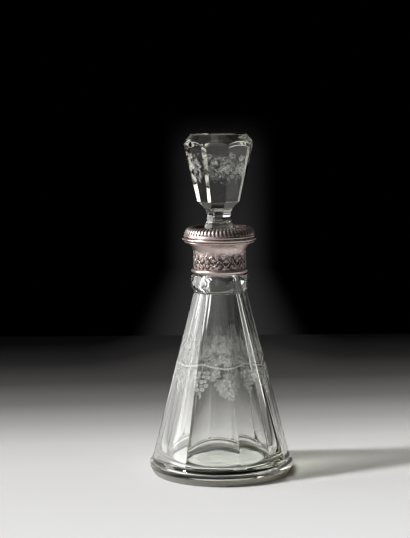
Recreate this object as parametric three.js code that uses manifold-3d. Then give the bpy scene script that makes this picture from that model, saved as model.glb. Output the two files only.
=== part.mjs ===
// Liquor decanter: an eight-sided cut glass bottle, a silver neck mount bedded in plaster, and a ground stopper.
// Millimetres, +Z up, the bottle stands on z = 0 round the Z axis, one flat panel faces -Y.
import * as THREE from "three";
import { mergeVertices, toCreasedNormals } from "three/addons/utils/BufferGeometryUtils.js";
import Module from "manifold-3d";

const wasm = await Module();
wasm.setup();

// Shared sizes
const PANELS = 8;
const SEAT_GAP = 0.3;
const GLASS_STEPS = 48;
const SILVER_STEPS = 40;
const ARC_STEPS = 3;
const CREASE_ANGLE = 14;

// Foot of the bottle: a flat recess underneath, a bevel, a plain rim and a cove under the panels
const RECESS_RADIUS = 46.5;
const RECESS_DEPTH = 3.2;
const RECESS_FILLET = 3;
const BASE_RADIUS = 57.5;
const RIM_RADIUS = 60.3;
const BEVEL_HEIGHT = 5.5;
const RIM_HEIGHT = 4.5;
const COVE_HEIGHT = 4;
const COVE_DEPTH = 2.6;

// Panelled cone, measured from the axis to the middle of a flat panel
const CONE_HEIGHT = 138.3;
const CONE_FOOT_FLAT = 55.23;
const CONE_TOP_FLAT = 21.1;
const PANEL_SCOOP = 1;
const GROOVE_HEIGHT = 1.6;

// Cut ring under the silver
const RING_HEIGHT = 14.6;
const RING_RADIUS = 25.1;
const RING_FLAT = 23.4;
const RING_EDGE_RADIUS = 21.8;

// Inside of the bottle
const WALL = 6;
const FLOOR_THICKNESS = 8;
const FLOOR_DOME = 1.2;
const FLOOR_FILLET = 18;
const THROAT_HEIGHT = 28;

// Plain neck inside the mount, and the ground taper of the stopper
const NECK_RADIUS = 17.6;
const NECK_HEIGHT = 35;
const LIP_ROUND = 1;
const PEG_RADIUS = 12.4;
const PEG_LENGTH = 29;
const PEG_TAPER = 0.05;
const PEG_EDGE = 1.2;

// Silver neck mount
const SHEET = 0.6;
const BAND_RADIUS = 21.6;
const BAND_HEIGHT = 15.8;
const CAVETTO_RADIUS = 11.4;
const CAVETTO_ANGLE = 51;
const BEAD_HEIGHT = 3.5;
const BEAD_BULGE = 1.1;
const REED_HEIGHT = 1.6;
const REED_RADIUS = 29.3;
const FLANGE_HEIGHT = 2.2;
const FLANGE_RADIUS = 31;
const SHOULDER_HEIGHT = 2.2;
const SHOULDER_RADIUS = 29.7;
const GALLERY_RADIUS = 22.6;
const MOUTH_RING_BORE = 14.2;

// Gadroons: half-round lobes that radiate over the top of the mount
const GADROONS = 54;
const GADROON_STEPS = 4;
const GADROON_ROWS = 3;
const GADROON_RISE = 6.2;
const GADROON_DEPTH = 0.9;
const GADROON_CROWN = 1.3;

// Stopper above the mouth; the flats are measured like those of the cone
const STEM_RADIUS = 13.1;
const STEM_HEIGHT = 10.2;
const STEM_WAIST_FLAT = 9.7;
const CHAMFER_HEIGHT = 12.4;
const HEAD_FOOT_FLAT = 17.4;
const HEAD_HEIGHT = 55.4;
const HEAD_TOP_FLAT = 29.1;
const TABLE_RADIUS = 23.2;
const TABLE_BEVEL_SLOPE = 1.18;
const STEM_CLEARANCE = 2.4;

// Levels
const footTop = BEVEL_HEIGHT + RIM_HEIGHT;
const coveLevel = footTop + COVE_HEIGHT;
const coveRadius = RIM_RADIUS - COVE_DEPTH;
const coneTop = coveLevel + CONE_HEIGHT;
const grooveLevel = coneTop + GROOVE_HEIGHT;
const ringTop = grooveLevel + RING_HEIGHT;
const lipLevel = ringTop + NECK_HEIGHT;
const throatLevel = ringTop + NECK_HEIGHT - PEG_LENGTH;
const bandFoot = ringTop + SEAT_GAP;
const cavettoEnd = THREE.MathUtils.degToRad(CAVETTO_ANGLE);
const cavettoRise = (CAVETTO_RADIUS + SHEET) * Math.sin(cavettoEnd);
const wireBore = BAND_RADIUS + CAVETTO_RADIUS - (CAVETTO_RADIUS + SHEET) * Math.cos(cavettoEnd);
const bandTop = bandFoot + BAND_HEIGHT + cavettoRise;
const reedFoot = bandTop + SEAT_GAP;
const flangeFoot = reedFoot + REED_HEIGHT + SEAT_GAP;
const rimFoot = flangeFoot + FLANGE_HEIGHT + SEAT_GAP;
const gadroonFoot = rimFoot + SHOULDER_HEIGHT;
const galleryTop = gadroonFoot + GADROON_RISE;
const stemFoot = lipLevel + STEM_CLEARANCE;
const waistLevel = stemFoot + STEM_HEIGHT;
const headFoot = waistLevel + CHAMFER_HEIGHT;
const stopperTop = headFoot + HEAD_HEIGHT;

// Half-width of a flat panel of the cone at a height, and the ridge where two panels meet
const coneSlope = (CONE_FOOT_FLAT - CONE_TOP_FLAT) / CONE_HEIGHT;
const coneFlat = (z) => CONE_TOP_FLAT + (coneTop - z) * coneSlope;
const ridge = (flat) => flat / Math.cos(Math.PI / PANELS);

// Radius of the ground taper at a height below the lip
const pegRadius = (z) => PEG_RADIUS - (lipLevel - z) * PEG_TAPER;

// Turns an outline in radius and height round the Z axis.
function revolve(path, steps) {
  const geometry = new THREE.LatheGeometry(path.getPoints(ARC_STEPS), steps, Math.PI / PANELS);
  return geometry.rotateX(Math.PI / 2);
}

// Gives a geometry to the boolean library as a closed solid.
function toSolid(geometry) {
  const bare = geometry.clone();
  bare.deleteAttribute("normal");
  bare.deleteAttribute("uv");
  const merged = mergeVertices(bare, 1e-4);
  const mesh = new wasm.Mesh({
    numProp: 3,
    vertProperties: new Float32Array(merged.attributes.position.array),
    triVerts: new Uint32Array(merged.index.array),
  });
  return new wasm.Manifold(mesh);
}

// Takes a finished solid back into three.js.
function toGeometry(solid) {
  const mesh = solid.getMesh();
  const geometry = new THREE.BufferGeometry();
  geometry.setAttribute("position", new THREE.BufferAttribute(mesh.vertProperties, 3));
  geometry.setIndex(new THREE.BufferAttribute(mesh.triVerts, 1));
  return toCreasedNormals(geometry, THREE.MathUtils.degToRad(CREASE_ANGLE));
}

// Arc that bulges out from a wall between two heights, as on a half-round wire.
function bulge(path, radius, foot, top, depth) {
  const half = (top - foot) / 2;
  const arcRadius = (half * half + depth * depth) / (2 * depth);
  const sweep = Math.asin(half / arcRadius);
  return path.absarc(radius + depth - arcRadius, foot + half, arcRadius, -sweep, sweep, false);
}

// Round blank of the bottle before any panel is cut
function bottleBlank() {
  const ridgeAllowance = 0.4;
  const coneFoot = coveLevel + PANEL_SCOOP;
  const path = new THREE.Path();
  path.moveTo(0, RECESS_DEPTH);
  path.lineTo(RECESS_RADIUS - RECESS_FILLET, RECESS_DEPTH);
  path.quadraticCurveTo(RECESS_RADIUS, RECESS_DEPTH, RECESS_RADIUS, 0);
  path.lineTo(BASE_RADIUS, 0);
  path.lineTo(RIM_RADIUS, BEVEL_HEIGHT);
  path.lineTo(RIM_RADIUS, footTop);
  path.quadraticCurveTo(coveRadius, footTop + COVE_HEIGHT / 2, coveRadius, coveLevel);
  path.lineTo(ridge(coneFlat(coneFoot)) + ridgeAllowance, coneFoot);
  path.lineTo(ridge(CONE_TOP_FLAT) + ridgeAllowance, coneTop);
  path.quadraticCurveTo(RING_EDGE_RADIUS, grooveLevel - GROOVE_HEIGHT / 2, RING_EDGE_RADIUS, grooveLevel);
  bulge(path, RING_EDGE_RADIUS, grooveLevel, ringTop, RING_RADIUS - RING_EDGE_RADIUS);
  path.lineTo(NECK_RADIUS, ringTop);
  path.lineTo(NECK_RADIUS, lipLevel - LIP_ROUND);
  path.quadraticCurveTo(NECK_RADIUS, lipLevel, NECK_RADIUS - LIP_ROUND, lipLevel);
  path.lineTo(0, lipLevel);
  return toSolid(revolve(path, GLASS_STEPS));
}

// Eight-sided solid that holds what the cutting wheel leaves: panels on the cone and on the ring
function bottlePanels() {
  const clear = RIM_RADIUS + CONE_FOOT_FLAT;
  const ringCut = RING_HEIGHT / 2 - PANEL_SCOOP / 2;
  const ringMiddle = grooveLevel + RING_HEIGHT / 2;
  const coneFoot = coveLevel + PANEL_SCOOP / 2;
  const path = new THREE.Path();
  path.moveTo(0, -RECESS_DEPTH);
  path.lineTo(clear, -RECESS_DEPTH);
  path.lineTo(clear, coneFoot - PANEL_SCOOP);
  path.lineTo(ridge(coneFlat(coneFoot)) + 2 * PANEL_SCOOP, coneFoot - PANEL_SCOOP);
  path.quadraticCurveTo(ridge(coneFlat(coneFoot)), coneFoot - PANEL_SCOOP, ridge(coneFlat(coneFoot)), coneFoot);
  path.lineTo(ridge(CONE_TOP_FLAT), coneTop);
  path.quadraticCurveTo(ridge(CONE_TOP_FLAT), grooveLevel, ridge(RING_FLAT) + PANEL_SCOOP, grooveLevel);
  path.quadraticCurveTo(ridge(RING_FLAT), grooveLevel, ridge(RING_FLAT), ringMiddle - ringCut);
  path.lineTo(ridge(RING_FLAT), ringMiddle + ringCut);
  path.quadraticCurveTo(ridge(RING_FLAT), ringTop, ridge(RING_FLAT) + PANEL_SCOOP, ringTop);
  path.lineTo(ridge(RING_FLAT) + PANEL_SCOOP, lipLevel + LIP_ROUND);
  path.lineTo(0, lipLevel + LIP_ROUND);
  return toSolid(revolve(path, PANELS));
}

// Everything hollow in the bottle: the blown inside, the throat and the ground bore for the stopper
function bottleInside() {
  const wallRadius = (z) => coneFlat(z) - WALL * Math.hypot(1, coneSlope);
  const floor = FLOOR_THICKNESS;
  const wallFoot = floor + FLOOR_FILLET;
  const wallTop = throatLevel - THROAT_HEIGHT;
  const elbow = throatLevel - THROAT_HEIGHT / 3;
  const boreFoot = pegRadius(throatLevel) + SEAT_GAP;
  const boreTop = pegRadius(lipLevel) + SEAT_GAP;
  const above = lipLevel + LIP_ROUND;
  const path = new THREE.Path();
  path.moveTo(0, floor + FLOOR_DOME);
  path.quadraticCurveTo(wallRadius(floor) / 2, floor + FLOOR_DOME, wallRadius(floor) - FLOOR_FILLET, floor);
  path.quadraticCurveTo(wallRadius(floor), floor, wallRadius(wallFoot), wallFoot);
  path.lineTo(wallRadius(wallTop), wallTop);
  path.quadraticCurveTo(wallRadius(elbow), elbow, boreFoot, throatLevel);
  path.lineTo(boreTop, lipLevel - LIP_ROUND);
  path.quadraticCurveTo(boreTop, lipLevel, boreTop + LIP_ROUND, above);
  path.lineTo(0, above);
  return toSolid(revolve(path, GLASS_STEPS));
}

// The bottle itself: the blank, cut into panels and hollowed
function glassBody() {
  return toGeometry(bottleBlank().intersect(bottlePanels()).subtract(bottleInside()));
}

// Round blank of the stopper, from the foot of its ground taper to the bevelled table on top
function stopperBlank() {
  const pegFoot = lipLevel - PEG_LENGTH;
  const wide = ridge(HEAD_TOP_FLAT);
  const bevelFoot = stopperTop - (wide - TABLE_RADIUS) * TABLE_BEVEL_SLOPE;
  const path = new THREE.Path();
  path.moveTo(0, pegFoot);
  path.lineTo(pegRadius(pegFoot) - PEG_EDGE, pegFoot);
  path.quadraticCurveTo(pegRadius(pegFoot), pegFoot, pegRadius(pegFoot), pegFoot + PEG_EDGE);
  path.lineTo(pegRadius(lipLevel), lipLevel);
  path.quadraticCurveTo(pegRadius(stemFoot), stemFoot, STEM_RADIUS, stemFoot);
  path.lineTo(STEM_RADIUS, waistLevel);
  path.lineTo(wide, waistLevel);
  path.lineTo(wide, bevelFoot);
  path.lineTo(TABLE_RADIUS, stopperTop);
  path.lineTo(0, stopperTop);
  return toSolid(revolve(path, GLASS_STEPS));
}

// Eight-sided solid of the stopper: flared stem, hollow chamfer and tapered head
function stopperPanels() {
  const below = lipLevel - PEG_LENGTH - PEG_EDGE;
  const flare = ridge(STEM_RADIUS);
  const path = new THREE.Path();
  path.moveTo(0, below);
  path.lineTo(flare, below);
  path.lineTo(flare, stemFoot);
  path.quadraticCurveTo(ridge(STEM_WAIST_FLAT), stemFoot + STEM_HEIGHT / 2, ridge(STEM_WAIST_FLAT), waistLevel);
  path.quadraticCurveTo(
    ridge(STEM_WAIST_FLAT),
    waistLevel + CHAMFER_HEIGHT / 2,
    ridge(HEAD_FOOT_FLAT),
    headFoot,
  );
  path.lineTo(ridge(HEAD_TOP_FLAT), stopperTop);
  path.lineTo(0, stopperTop);
  return toSolid(revolve(path, PANELS));
}

function stopper() {
  return toGeometry(stopperBlank().intersect(stopperPanels()));
}

// Cavetto of the band, set back by an offset: it turns out from the cylinder, or back down to it.
function cavetto(path, offset, turn, outwards) {
  const from = outwards ? Math.PI : Math.PI - turn;
  const to = outwards ? Math.PI - turn : Math.PI;
  const centreRadius = BAND_RADIUS + CAVETTO_RADIUS;
  return path.absarc(centreRadius, bandFoot + BAND_HEIGHT, CAVETTO_RADIUS + offset, from, to, outwards);
}

// Chased band: a sheet cylinder that flares into a cavetto
function collarBand() {
  const path = new THREE.Path();
  path.moveTo(BAND_RADIUS - SHEET, bandFoot);
  path.lineTo(BAND_RADIUS, bandFoot);
  cavetto(path, 0, cavettoEnd, true);
  cavetto(path, SHEET, cavettoEnd, false);
  path.lineTo(BAND_RADIUS - SHEET, bandFoot);
  return revolve(path, SILVER_STEPS);
}

// Half-round wire round the foot of the band
function footBead() {
  const bore = BAND_RADIUS + SEAT_GAP;
  const path = new THREE.Path();
  path.moveTo(bore, bandFoot + BEAD_HEIGHT);
  path.lineTo(bore, bandFoot);
  bulge(path, bore + SHEET, bandFoot, bandFoot + BEAD_HEIGHT, BEAD_BULGE);
  path.lineTo(bore, bandFoot + BEAD_HEIGHT);
  return revolve(path, SILVER_STEPS);
}

// Wire with a half-round edge, as used twice under the rim
function edgeWire(foot, height, radius) {
  const path = new THREE.Path();
  path.moveTo(wireBore, foot + height);
  path.lineTo(wireBore, foot);
  bulge(path, radius - height / 2, foot, foot + height, height / 2);
  path.lineTo(wireBore, foot + height);
  return revolve(path, SILVER_STEPS);
}

// Outline of the rim's cross-section with its gadroons raised by the given height
function rimOutline(lobe) {
  const outer = SHOULDER_RADIUS;
  const inner = GALLERY_RADIUS - SHEET;
  const points = [
    new THREE.Vector2(outer - 2 * SHEET, rimFoot),
    new THREE.Vector2(outer, rimFoot),
    new THREE.Vector2(outer, gadroonFoot - SHEET),
  ];
  for (let row = 0; row <= GADROON_ROWS; row += 1) {
    const share = row / GADROON_ROWS;
    const crown = Math.sin(Math.PI * share);
    const lift = crown * GADROON_CROWN + Math.sqrt(crown) * lobe;
    const slope = Math.atan2(GADROON_RISE, outer - GALLERY_RADIUS);
    const radius = outer - SHEET - share * (outer - SHEET - GALLERY_RADIUS) + lift * Math.sin(slope);
    points.push(new THREE.Vector2(radius, gadroonFoot + share * GADROON_RISE + lift * Math.cos(slope)));
  }
  points.push(new THREE.Vector2(inner, galleryTop));
  points.push(new THREE.Vector2(inner, galleryTop - 3 * SHEET));
  points.push(new THREE.Vector2(outer - 2 * SHEET, gadroonFoot - 2 * SHEET));
  points.push(new THREE.Vector2(outer - 2 * SHEET, rimFoot));
  return points;
}

// Gadrooned rim: each column of the turned shape lies between the valley outline and the lobe outline
function gadroonRim() {
  const steps = GADROONS * GADROON_STEPS;
  const valley = rimOutline(0);
  const lobe = rimOutline(GADROON_DEPTH);
  const geometry = new THREE.LatheGeometry(valley, steps, Math.PI / PANELS);
  const position = geometry.attributes.position;
  for (let column = 0; column <= steps; column += 1) {
    const height = Math.sqrt(Math.sin((Math.PI * (column % GADROON_STEPS)) / GADROON_STEPS));
    const angle = Math.PI / PANELS + (2 * Math.PI * (column % steps)) / steps;
    for (let row = 0; row < valley.length; row += 1) {
      const point = valley[row].clone().lerp(lobe[row], height);
      const index = column * valley.length + row;
      position.setXYZ(index, point.x * Math.sin(angle), point.y, point.x * Math.cos(angle));
    }
  }
  return geometry.rotateX(Math.PI / 2);
}

// Dished plate that covers the glass lip inside the rim
function mouthRing() {
  const foot = lipLevel + SEAT_GAP;
  const outer = GALLERY_RADIUS - SHEET - SEAT_GAP;
  const path = new THREE.Path();
  path.moveTo(MOUTH_RING_BORE, foot);
  path.lineTo(outer, foot);
  path.lineTo(outer, galleryTop - SHEET);
  path.lineTo(outer - SHEET, galleryTop - SHEET);
  path.quadraticCurveTo(outer - SHEET, foot + SHEET, outer - 4 * SHEET, foot + SHEET);
  path.lineTo(MOUTH_RING_BORE, foot + SHEET);
  path.lineTo(MOUTH_RING_BORE, foot);
  return revolve(path, SILVER_STEPS);
}

// Plaster cast between the neck and the mount
function plasterBed() {
  const bore = NECK_RADIUS + SEAT_GAP;
  const foot = ringTop + SEAT_GAP;
  const top = lipLevel - LIP_ROUND;
  const path = new THREE.Path();
  path.moveTo(bore, foot);
  path.lineTo(BAND_RADIUS - SHEET - SEAT_GAP, foot);
  cavetto(path, SHEET + SEAT_GAP, Math.asin(cavettoRise / (CAVETTO_RADIUS + SHEET + SEAT_GAP)), true);
  path.lineTo(wireBore - SEAT_GAP, reedFoot);
  path.lineTo(wireBore - SEAT_GAP, rimFoot);
  path.lineTo(GALLERY_RADIUS - 2 * SHEET, top);
  path.lineTo(bore, top);
  path.lineTo(bore, foot);
  return revolve(path, SILVER_STEPS);
}

// Materials: colour, roughness and metalness as the photograph shows them
const clearGlass = { color: 0xdfe6df, roughness: 0.03, metalness: 0, transparent: true, opacity: 0.35 };
const wornSilver = { color: 0xb9aeab, roughness: 0.32, metalness: 1 };
const castPlaster = { color: 0xe8e3d8, roughness: 0.95, metalness: 0 };

const decanter = new THREE.Group();
const lift = new THREE.Group();
decanter.add(lift);

// Adds one named piece to a group.
function addPiece(group, name, geometry, finish) {
  const mesh = new THREE.Mesh(geometry, new THREE.MeshStandardMaterial(finish));
  mesh.name = name;
  group.add(mesh);
}

addPiece(decanter, "glass_body", glassBody(), clearGlass);
addPiece(decanter, "plaster_bed", plasterBed(), castPlaster);
addPiece(decanter, "collar_band", collarBand(), wornSilver);
addPiece(decanter, "foot_bead", footBead(), wornSilver);
addPiece(decanter, "reed_wire", edgeWire(reedFoot, REED_HEIGHT, REED_RADIUS), wornSilver);
addPiece(decanter, "flange_wire", edgeWire(flangeFoot, FLANGE_HEIGHT, FLANGE_RADIUS), wornSilver);
addPiece(decanter, "gadroon_rim", gadroonRim(), wornSilver);
addPiece(decanter, "mouth_ring", mouthRing(), wornSilver);
addPiece(lift, "stopper", stopper(), clearGlass);

export default decanter;
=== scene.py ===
# %% [markdown]
# # A cut glass decanter with a silver mount
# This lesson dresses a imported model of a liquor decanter: a blown cone cut into eight flat panels, a solid
# cut stopper, and a silver neck mount with a gadrooned rim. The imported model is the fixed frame. It says
# where each piece sits, and the script gives each piece its finish, in metres, in the same frame.

# %% Load the frame
import math
import random

import bpy
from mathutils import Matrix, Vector


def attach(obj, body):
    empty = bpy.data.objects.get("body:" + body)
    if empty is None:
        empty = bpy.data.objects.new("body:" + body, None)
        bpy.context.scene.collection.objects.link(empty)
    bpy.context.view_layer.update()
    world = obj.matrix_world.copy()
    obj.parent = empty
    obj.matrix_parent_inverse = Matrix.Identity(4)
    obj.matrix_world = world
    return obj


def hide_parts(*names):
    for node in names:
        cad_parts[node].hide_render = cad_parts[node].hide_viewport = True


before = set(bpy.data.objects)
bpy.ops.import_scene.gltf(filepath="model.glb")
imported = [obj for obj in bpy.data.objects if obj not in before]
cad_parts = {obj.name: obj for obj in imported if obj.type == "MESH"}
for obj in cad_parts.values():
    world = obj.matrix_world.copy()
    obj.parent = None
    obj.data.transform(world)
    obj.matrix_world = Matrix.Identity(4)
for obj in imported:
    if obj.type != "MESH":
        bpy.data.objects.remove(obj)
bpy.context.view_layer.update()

# %% [markdown]
# Lengths are written in real millimetres and turned into metres once. Colours are written as sRGB hex
# values, the way a paint chart gives them, and one function turns them into the linear values that the
# renderer needs.

# %% Units and colours
MM = 0.001


def linear(hex_colour, alpha=1.0):
    """Linear RGBA of an sRGB hex colour such as #c0c0c0."""
    shares = [int(hex_colour[i:i + 2], 16) / 255 for i in (1, 3, 5)]
    return [s / 12.92 if s <= 0.04045 else ((s + 0.055) / 1.055) ** 2.4 for s in shares] + [alpha]


# %% [markdown]
# Materials are small node trees. One function adds a node, sets it and links it, so each material reads as
# a list of what it is made of. Colour ramps take their stops from a list.

# %% A node with its settings and links
def add_node(tree, kind, links=None, **settings):
    """Adds a node. links maps an input name to a value or to another node's output."""
    made = tree.nodes.new(kind)
    for name, value in settings.items():
        setattr(made, name, value)
    for name, value in (links or {}).items():
        if isinstance(value, bpy.types.NodeSocket):
            tree.links.new(value, made.inputs[name])
        else:
            made.inputs[name].default_value = value
    return made


def new_material(name):
    """An empty material with its output node."""
    material = bpy.data.materials.new(name)
    material.use_nodes = True
    material.node_tree.nodes.clear()
    return material, material.node_tree, add_node(material.node_tree, "ShaderNodeOutputMaterial")


def fill_ramp(ramp, stops):
    """Gives a colour ramp its stops, a list of (place, hex colour) pairs from low to high."""
    first, last = ramp.elements
    first.position, first.color = stops[0][0], linear(stops[0][1])
    last.position, last.color = stops[-1][0], linear(stops[-1][1])
    for place, colour in stops[1:-1]:
        ramp.elements.new(place).color = linear(colour)


# %% [markdown]
# ## Camera
# The photograph looks a little down on the decanter from close by: the foot shows as an open ellipse, while
# the top of the stopper is nearly edge on. A long lens 1.25 m away gives both. The decanter leans half a
# degree in the picture, which is a roll of the camera.

# %% Camera
IMAGE_HEIGHT_PX = 538
FOCAL_PX = 1500
# metres from the decanter's axis and above the table
camera_distance = 1.245
camera_height = 0.3211
camera_azimuth = math.radians(7)
camera_pitch = math.radians(6.85)
camera_roll = math.radians(0.55)
# the axis stands this far to the right of the picture's middle
axis_shift_px = 13.1

camera_data = bpy.data.cameras.new("camera")
camera = bpy.data.objects.new("camera", camera_data)
bpy.context.scene.collection.objects.link(camera)
bpy.context.scene.camera = camera
camera_data.sensor_width = 36
camera_data.lens = FOCAL_PX / IMAGE_HEIGHT_PX * camera_data.sensor_width
camera_data.clip_end = 50
camera.location = (
    camera_distance * math.sin(camera_azimuth),
    -camera_distance * math.cos(camera_azimuth),
    camera_height,
)
camera.rotation_mode = "XYZ"
yaw = math.atan(axis_shift_px / FOCAL_PX)
camera.rotation_euler = (math.pi / 2 - camera_pitch, camera_roll, camera_azimuth + yaw)
print("lens in mm:", round(camera_data.lens, 1))

# %% [markdown]
# ## Table and background
# The decanter stands on a plain pale table whose light falls away behind it into black, which is how glass
# is shown so that its edges glow. A lamp that lights the near part only is hard to place, so the fall-off is
# painted shade: the table's own grey darkens with the distance behind the object. In a strip right behind
# the decanter a painted glow makes it darken less. The table ends 0.7 m behind the object, and the black
# beyond it is the room.

# %% Directions and greys of the table
across = Vector((math.cos(camera_azimuth), math.sin(camera_azimuth), 0))
back = Vector((-math.sin(camera_azimuth), math.cos(camera_azimuth), 0))
# metres behind the object's axis, and the table's grey there, which paints the fall-off of light as shade
painted_falloff_greys = [(-0.2, "#e6e6e6"), (0.03, "#d2d1d0"), (0.11, "#c4c3c2"), (0.19, "#a19f9e"), (0.29, "#6b6a69"),
               (0.4, "#434241"), (0.52, "#222121"), (0.66, "#090909"), (1.0, "#010101")]
fade_start, fade_end = painted_falloff_greys[0][0], painted_falloff_greys[-1][0]
fade_turn = math.radians(6)
# the strip of painted glow: half widths where it starts and where it is full, the depths between which it
# grows, and how much it lifts the grey
strip_edge, strip_core, strip_start, strip_end, painted_glow_gain = 0.17, 0.05, 0.42, 0.7, 0.15

# %% Table paint
def table_with_painted_light():
    """Matt paint that darkens with the distance behind the object as painted shade, and darkens less in a
    strip of painted glow.
    """
    material, tree, output = new_material("painted table")
    place = add_node(tree, "ShaderNodeNewGeometry").outputs["Position"]
    fall = camera_azimuth + fade_turn
    along = add_node(tree, "ShaderNodeVectorMath", {
        0: place, 1: (-math.sin(fall), math.cos(fall), 0),
    }, operation="DOT_PRODUCT").outputs["Value"]
    aside = add_node(tree, "ShaderNodeVectorMath", {0: place, 1: across}, operation="DOT_PRODUCT")
    off = add_node(tree, "ShaderNodeMath", {0: aside.outputs["Value"]}, operation="ABSOLUTE")
    near = add_node(tree, "ShaderNodeMapRange", {
        "Value": off.outputs["Value"], "From Min": strip_edge, "From Max": strip_core,
    }, interpolation_type="SMOOTHSTEP")
    # painted glow: right behind the decanter the grey darkens less
    painted_glow = add_node(tree, "ShaderNodeMapRange", {
        "Value": along, "From Min": strip_start, "From Max": strip_end, "To Max": painted_glow_gain,
    })
    painted_glow_lift = add_node(tree, "ShaderNodeMath", {
        0: near.outputs["Result"], 1: painted_glow.outputs["Result"],
    }, operation="MULTIPLY")
    depth = add_node(tree, "ShaderNodeMath", {0: along, 1: painted_glow_lift.outputs["Value"]}, operation="SUBTRACT")
    reach = add_node(tree, "ShaderNodeMapRange", {
        "Value": depth.outputs["Value"], "From Min": fade_start, "From Max": fade_end,
    })
    fade = add_node(tree, "ShaderNodeValToRGB", {"Fac": reach.outputs["Result"]})
    length = fade_end - fade_start
    fill_ramp(fade.color_ramp, [((far - fade_start) / length, grey) for far, grey in painted_falloff_greys])
    paint = add_node(tree, "ShaderNodeBsdfDiffuse", {"Color": fade.outputs["Color"], "Roughness": 0.6})
    tree.links.new(paint.outputs["BSDF"], output.inputs["Surface"])
    return material


# %% [markdown]
# The table's top is one flat face. It is part of the stage and not of the object.

# %% Table
def build_table(half_width, before, behind):
    """A flat floor. Lengths are in metres from the object's axis."""
    corners = [across * side + back * far for side, far in (
        (-half_width, -before), (half_width, -before), (half_width, behind), (-half_width, behind))]
    mesh = bpy.data.meshes.new("table")
    mesh.from_pydata(corners, [], [(0, 1, 2, 3)])
    table = bpy.data.objects.new("table", mesh)
    bpy.context.scene.collection.objects.link(table)
    mesh.materials.append(table_with_painted_light())
    print("table in m:", 2 * half_width, "by", before + behind)


build_table(4.0, 4.0, 0.7)

# %% [markdown]
# ## Light
# The key light stands high on the left, a little in front. It is small, so it throws a crisp shadow to the
# right. Polished glass shows what it mirrors, so the other lights are there to be seen in it. A low soft box
# at the left is mirrored by the left panel, and an upper one by the stopper. A large dim card under the
# ceiling shows in the rims, and a dim card in front shows in the near faces. Strips and cards beside and
# behind the decanter draw the bright lines along its edges.

# %% Lights
# name, place and target in metres, width and height in metres, power in watts
soft_lights = [
    ("key light", (-2.72, -1.1, 2.52), (0, 0, 0.08), (0.38, 0.38), 162),
    ("left soft box", (-1.02, 0.0, 0.27), (0, 0, 0.14), (0.4, 0.55), 3.5),
    ("upper left box", (-1.0, 0.1, 0.69), (0, 0, 0.25), (0.5, 0.36), 1.6),
    ("ceiling card", (-0.9, -0.2, 2.4), (0, 0, 0.0), (1.8, 1.8), 3),
    ("front card", (-0.55, -1.7, 0.75), (0, 0, 0.15), (0.9, 0.6), 1.0),
    ("right edge strip", (0.9, 1.2, 0.1), (0, 0, 0.1), (0.12, 0.26), 0.25),
    ("left edge strip", (-0.8, 1.25, 0.12), (0, 0, 0.1), (0.3, 0.3), 0.4),
    ("right card", (1.4, 0.8, 0.14), (0, 0, 0.1), (1.0, 0.3), 0.12),
    ("rear left card", (-0.95, 1.0, 0.62), (0, 0, 0.2), (0.5, 0.35), 0.25),
]


def add_soft_light(name, place, target, size, power):
    """A rectangular soft light that faces a target."""
    data = bpy.data.lights.new(name, "AREA")
    data.shape = "RECTANGLE"
    data.size, data.size_y = size
    data.energy = power
    light = bpy.data.objects.new(name, data)
    light.location = place
    light.rotation_euler = (Vector(target) - Vector(place)).to_track_quat("-Z", "Y").to_euler()
    bpy.context.scene.collection.objects.link(light)


for soft_light in soft_lights:
    add_soft_light(*soft_light)
print("lights:", len(soft_lights))

# %% [markdown]
# The room is what glass and silver show where no light stands. It is grey towards the left and the front and
# nearly black to the right. Behind, it is grey at both sides, where the cut edges of the glass take their
# light from, and black in the middle. Painted walls would do the same, but they would stand in the way of a
# camera that goes round, so the room is a background that depends on direction only.

# %% Greys of the room
light_side = (-0.75, -0.66, 0.05)
side_greys = [(0.3, "#000000"), (0.45, "#161617"), (0.65, "#3c3c3d"), (0.82, "#7c7a79"), (1.0, "#b0adab")]
rear_greys = [(0.0, "#2c2c2c"), (0.3, "#4a4948"), (0.74, "#605f5e"), (0.84, "#1c1c1c"), (0.976, "#000000")]


def room_greys(tree, way, behind):
    """Two gradients added up: from the dark to the light side, and from the front to straight behind."""
    side = add_node(tree, "ShaderNodeVectorMath", {0: way, 1: light_side}, operation="DOT_PRODUCT")
    share = add_node(tree, "ShaderNodeMapRange", {
        "Value": side.outputs["Value"], "From Min": -1.0, "From Max": 1.0,
    })
    shade = add_node(tree, "ShaderNodeValToRGB", {"Fac": share.outputs["Result"]})
    fill_ramp(shade.color_ramp, side_greys)
    backdrop = add_node(tree, "ShaderNodeValToRGB", {"Fac": behind})
    fill_ramp(backdrop.color_ramp, rear_greys)
    both = add_node(tree, "ShaderNodeMix", {
        0: 1.0, 6: shade.outputs["Color"], 7: backdrop.outputs["Color"],
    }, data_type="RGBA", blend_type="ADD")
    return both.outputs["Result"]


# %% [markdown]
# A soft grey glow stands right behind the decanter, from the table's far edge up to nearly eye level. The
# dark outlines of the glass read against it. It is wider and brighter at its foot.

# %% Glow behind the decanter
# sines of the angle above eye level, from the glow's foot upwards
glow_foot, glow_narrows, glow_dims, glow_fades, glow_top = -0.163, -0.118, -0.062, -0.052, -0.0134
# sines of the angle to each side, at the foot and higher up, and the share of them that is fully bright
foot_reach, upper_reach, full_share = 0.0634, 0.0398, 0.3


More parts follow.
